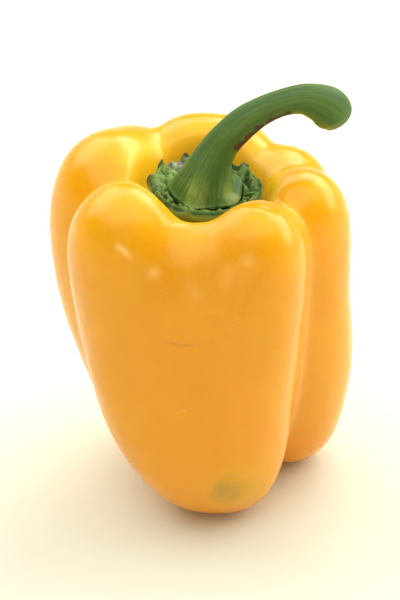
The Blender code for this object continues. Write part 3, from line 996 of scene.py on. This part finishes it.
def stem_grain(tree, around, lengthwise):
    """A place that follows the stem's surface, for patterns that run along it."""
    inputs = {
        "X": times(tree, attribute_value(tree, "turn_cos"), around),
        "Y": times(tree, attribute_value(tree, "turn_sin"), around),
        "Z": times(tree, attribute_value(tree, "along"), lengthwise),
    }
    return add_node(tree, "ShaderNodeCombineXYZ", inputs).outputs["Vector"]


def within(tree, value, span, fade):
    """1 between the span's two ends, falling smoothly to 0 outside them."""
    start, end = span
    rise = remap(tree, value, start - fade, start)
    return times(tree, rise, remap(tree, value, end, end + fade, 1.0, 0.0))


def dry_scars(tree, place, along):
    """Ragged narrow strips along the front of the stem's underside."""
    across = times(tree, attribute_value(tree, "turn_cos"), math.cos(SCAR_TURN))
    upwards = times(tree, attribute_value(tree, "turn_sin"), math.sin(SCAR_TURN))
    facing = calculate(tree, "ADD", across, upwards)
    torn = times(tree, noise_value(tree, place, SCAR_EDGE_SIZE, 3.0), 0.30)
    strip = remap(tree, calculate(tree, "ADD", facing, torn), 1.02, 1.10)
    spans = [within(tree, along, span, SCAR_END_FADE) for span in SCAR_SPANS]
    return times(tree, strip, highest(tree, *spans))


def stem_peel(settings):
    """Satin green with fine lengthwise streaks, painted highlight along the ribs and on the bulb's
    front, painted shade between the ribs, a yellowish belly and two dry scars.
    """
    material, tree, shader = new_material("stem peel")
    place = object_place(tree)
    along = attribute_value(tree, "along")
    streaks = noise_value(tree, stem_grain(tree, *STREAK_COUNTS), 1.0, 4.0, 0.65)
    # The ribs' crests are painted lighter and the spaces between them darker: painted highlight and
    # shade.
    ridge = times(tree, attribute_value(tree, "ridge"), 0.30)
    ribbed = calculate(tree, "ADD", ridge, times(tree, streaks, 0.90))
    normal = add_node(tree, "ShaderNodeNewGeometry").outputs["Normal"]
    facing = add_node(tree, "ShaderNodeSeparateXYZ", {0: normal}).outputs["Z"]
    under = times(tree, remap(tree, facing, -0.15, -0.75), remap(tree, along, 0.2, 0.35))
    # Painted highlight on the front of the bulb's ribs.
    pale = times(tree, remap(tree, ribbed, 0.40, 0.85), within(tree, along, BULB_SPAN, BULB_FADE))
    front = remap(tree, attribute_value(tree, "turn_cos"), -0.15, -0.65, 0.0, 0.75)
    colour = paint(
        tree,
        settings.deep_streak_and_rib_shade,
        (remap(tree, ribbed, 0.30, 0.68), settings.green),
        (remap(tree, ribbed, 0.62, 0.98, 0.0, 0.7), settings.light_streak_and_rib_highlight),
        (times(tree, under, 0.75), settings.belly),
        (times(tree, pale, front), settings.bulb),
        (dry_scars(tree, place, along), settings.bark),
    )
    look = {
        "Base Color": colour,
        "Roughness": remap(tree, streaks, 0.3, 0.7, 0.42, 0.56),
        "Specular IOR Level": 0.35,
        "Subsurface Weight": 0.08,
        "Subsurface Radius": TISSUE_SCATTER,
        "Subsurface Scale": 0.001,
    }
    set_inputs(tree, shader, look)
    grooves = noise_value(tree, stem_grain(tree, *GROOVE_COUNTS), 1.0, 3.0, 0.6)
    add_bump(tree, shader, grooves, GROOVE_DEPTH)
    add_bump(tree, shader, noise_value(tree, place, PEEL_GRAIN_SIZE, 3.0), PEEL_GRAIN_DEPTH)
    return material


def floor_paper(settings):
    """Warm white paper with a faint, slow unevenness."""
    material, tree, shader = new_material("floor paper")
    cloud = remap(tree, noise_value(tree, object_place(tree), FLOOR_CLOUD_SIZE), 0.3, 0.7)
    red, green, blue = (FLOOR_SHADE * value for value in settings.floor_colour[:3])
    colour = blend_colour(tree, cloud, settings.floor_colour, (red, green, blue, 1.0))
    set_inputs(tree, shader, {"Base Color": colour, "Roughness": 0.85, "Specular IOR Level": 0.2})
    return material


def make_floor(settings):
    bm = bmesh.new()
    bmesh.ops.create_grid(bm, x_segments=8, y_segments=8, size=settings.floor_width / 2)
    add_mesh_object(bm, "studio_floor", floor_paper(settings))


def make_camera(settings):
    """Looks down on the fruit from the front. The picture is framed by shifting the lens."""
    data = bpy.data.cameras.new("camera")
    data.lens = settings.lens
    data.sensor_width = SENSOR_WIDTH
    longest = max(PICTURE_WIDTH, PICTURE_HEIGHT)
    data.shift_x = (PICTURE_WIDTH / 2 - AXIS_PIXEL[0]) / longest
    data.shift_y = (AXIS_PIXEL[1] - PICTURE_HEIGHT / 2) / longest
    data.clip_start = 0.01
    camera = add_object("camera", data)
    aim = Vector((0.0, 0.0, settings.aim_height)) + Vector(STEM_AXIS)
    back = Vector((0.0, -math.cos(settings.pitch), math.sin(settings.pitch)))
    camera.location = aim + back * settings.distance
    camera.rotation_euler = (math.pi / 2 - settings.pitch, 0.0, 0.0)
    bpy.context.scene.camera = camera


def make_softbox(name, power, width, height, heading, elevation, roll, distance):
    """A soft light aimed at the fruit. Its heading runs from the camera's side towards the right."""
    data = bpy.data.lights.new(name, "AREA")
    data.shape = "RECTANGLE"
    data.size = width
    data.size_y = height
    data.energy = power
    light = add_object(name, data)
    turn, rise = math.radians(heading), math.radians(elevation)
    level = math.cos(rise)
    towards = Vector((math.sin(turn) * level, -math.cos(turn) * level, math.sin(rise)))
    light.location = Vector(LIGHT_AIM) + towards * distance
    rolled = Quaternion((0.0, 0.0, 1.0), math.radians(roll))
    light.rotation_euler = (towards.to_track_quat("Z", "Y") @ rolled).to_euler()


def make_softboxes(settings):
    """Every soft light, with its power shared out among its panels."""
    for name, setting, panels, *placing in SOFTBOXES:
        power = getattr(settings, setting) / len(panels)
        for width, height in panels:
            make_softbox(name, power, width, height, *placing)


def make_room(settings):
    """A dim room with a bright band along the horizon, which the fruit's flanks reflect."""
    world = bpy.data.worlds.new("room")
    world.use_nodes = True
    tree = world.node_tree
    direction = add_node(tree, "ShaderNodeTexCoord").outputs["Generated"]
    height = add_node(tree, "ShaderNodeSeparateXYZ", {0: direction}).outputs["Z"]
    strength = remap(tree, height, *HORIZON_BAND, settings.horizon_strength, settings.room_strength)
    inputs = {"Color": (1.0, 1.0, 1.0, 1.0), "Strength": strength}
    set_inputs(tree, tree.nodes["Background"], inputs)
    bpy.context.scene.world = world


class PEPPER_OT_fruit(bpy.types.Operator):
    """Build the waxy yellow fruit"""

    bl_idname = "pepper.fruit"
    bl_label = "Fruit"

    def execute(self, context):
        settings = context.scene.pepper_fruit
        bm, attributes = shape_fruit(settings)
        finish_piece(bm, "pepper_fruit", pepper_skin(settings), "fruit", attributes)
        return {"FINISHED"}


class PEPPER_OT_calyx(bpy.types.Operator):
    """Build the crinkled green calyx in the fruit's bowl"""

    bl_idname = "pepper.calyx"
    bl_label = "Calyx"

    def execute(self, context):
        settings = context.scene.pepper_calyx
        bm, attributes = shape_calyx(settings)
        finish_piece(bm, "pepper_calyx", calyx_leaf(settings), "calyx", attributes)
        return {"FINISHED"}


class PEPPER_OT_stem(bpy.types.Operator):
    """Build the ribbed stem that bends over to the right"""

    bl_idname = "pepper.stem"
    bl_label = "Stem"

    def execute(self, context):
        settings = context.scene.pepper_stem
        bm, attributes = shape_stem(settings)
        finish_piece(bm, "pepper_stem", stem_peel(settings), "stem", attributes)
        return {"FINISHED"}


class PEPPER_OT_stage(bpy.types.Operator):
    """Set up the floor, the camera, the lights and the room"""

    bl_idname = "pepper.stage"
    bl_label = "Stage"

    def execute(self, context):
        settings = context.scene.pepper_stage
        make_floor(settings)
        make_camera(settings)
        make_softboxes(settings)
        make_room(settings)
        context.scene.view_settings.view_transform = "Standard"
        return {"FINISHED"}


class PEPPER_PT_panel(bpy.types.Panel):
    """Buttons for each piece and the settings that they read"""

    bl_label = "Bell Pepper"
    bl_idname = "PEPPER_PT_panel"
    bl_space_type = "VIEW_3D"
    bl_region_type = "UI"
    bl_category = "Pepper"

    def draw(self, context):
        for operator, name, _ in PARTS:
            box = self.layout.box()
            box.operator(operator.bl_idname)
            settings = getattr(context.scene, name)
            for key in settings.bl_rna.properties.keys():
                if key not in ("rna_type", "name"):
                    box.prop(settings, key)


PARTS = (
    (PEPPER_OT_fruit, "pepper_fruit", PepperFruitSettings),
    (PEPPER_OT_calyx, "pepper_calyx", PepperCalyxSettings),
    (PEPPER_OT_stem, "pepper_stem", PepperStemSettings),
    (PEPPER_OT_stage, "pepper_stage", PepperStageSettings),
)


def register():
    for operator, name, group in PARTS:
        bpy.utils.register_class(group)
        setattr(bpy.types.Scene, name, PointerProperty(type=group))
        bpy.utils.register_class(operator)
    bpy.utils.register_class(PEPPER_PT_panel)


def unregister():
    bpy.utils.unregister_class(PEPPER_PT_panel)
    for operator, name, group in reversed(PARTS):
        bpy.utils.unregister_class(operator)
        delattr(bpy.types.Scene, name)
        bpy.utils.unregister_class(group)


def main():
    register()
    bpy.ops.pepper.fruit()
    bpy.ops.pepper.calyx()
    bpy.ops.pepper.stem()
    bpy.ops.pepper.stage()


if __name__ == "__main__":
    main()
